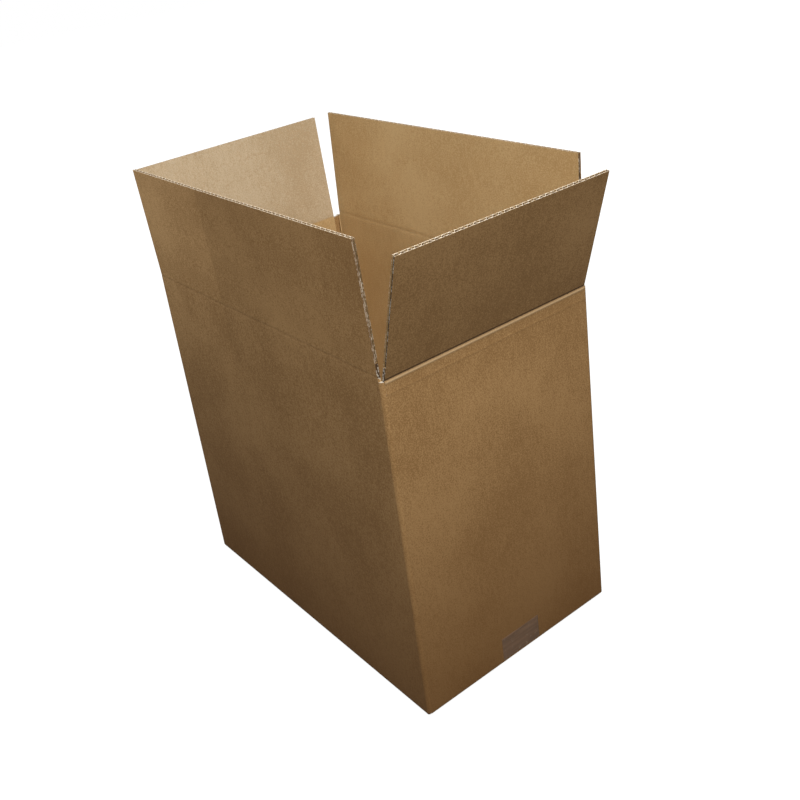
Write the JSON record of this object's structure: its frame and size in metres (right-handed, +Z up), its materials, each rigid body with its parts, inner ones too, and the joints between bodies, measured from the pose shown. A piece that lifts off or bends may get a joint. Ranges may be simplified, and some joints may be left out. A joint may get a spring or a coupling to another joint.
{
  "type": "open cardboard box",
  "caption": "Open corrugated shipping carton with four upright top flaps, taped bottom seam and an outside glue lap.",
  "frame": {"origin": "centre of the underside, midway between the outer faces of the walls, on the plane that the carton stands on", "axes": "+Z up out of the open top; +X along the long panels towards the short panel whose flap leans out most; +Y across the short panels towards the back"},
  "size_m": [0.4245, 0.2458, 0.4658],
  "materials": {
    "kraft_board": "matte",
    "kraft_flap": "matte",
    "tape": "satin"
  },
  "bodies": {
    "carton_body": {"carton_body": "kraft_board", "seam_tape": "tape"},
    "top_flap_front": {"top_flap_front": "kraft_flap"},
    "top_flap_back": {"top_flap_back": "kraft_flap"},
    "top_flap_left": {"top_flap_left": "kraft_flap"},
    "top_flap_right": {"top_flap_right": "kraft_flap"}
  },
  "joints": [
    {"name": "top_flap_front_hinge", "type": "hinge", "parent": "carton_body", "child": "top_flap_front", "pos_m": [0, -0.11815, 0.3493], "axis": [1, 0, 0], "range_deg": [-92.4, 175.6]},
    {"name": "top_flap_right_hinge", "type": "hinge", "parent": "carton_body", "child": "top_flap_right", "pos_m": [0.19115, 0, 0.346], "axis": [0, 1, 0], "range_deg": [-107.4, 160.6]},
    {"name": "top_flap_back_hinge", "type": "hinge", "parent": "carton_body", "child": "top_flap_back", "pos_m": [0, 0.11815, 0.3493], "axis": [-1, 0, 0], "range_deg": [-92.4, 175.6]},
    {"name": "top_flap_left_hinge", "type": "hinge", "parent": "carton_body", "child": "top_flap_left", "pos_m": [-0.19115, 0, 0.346], "axis": [0, -1, 0], "range_deg": [-93.8, 126.2]}
  ]
}
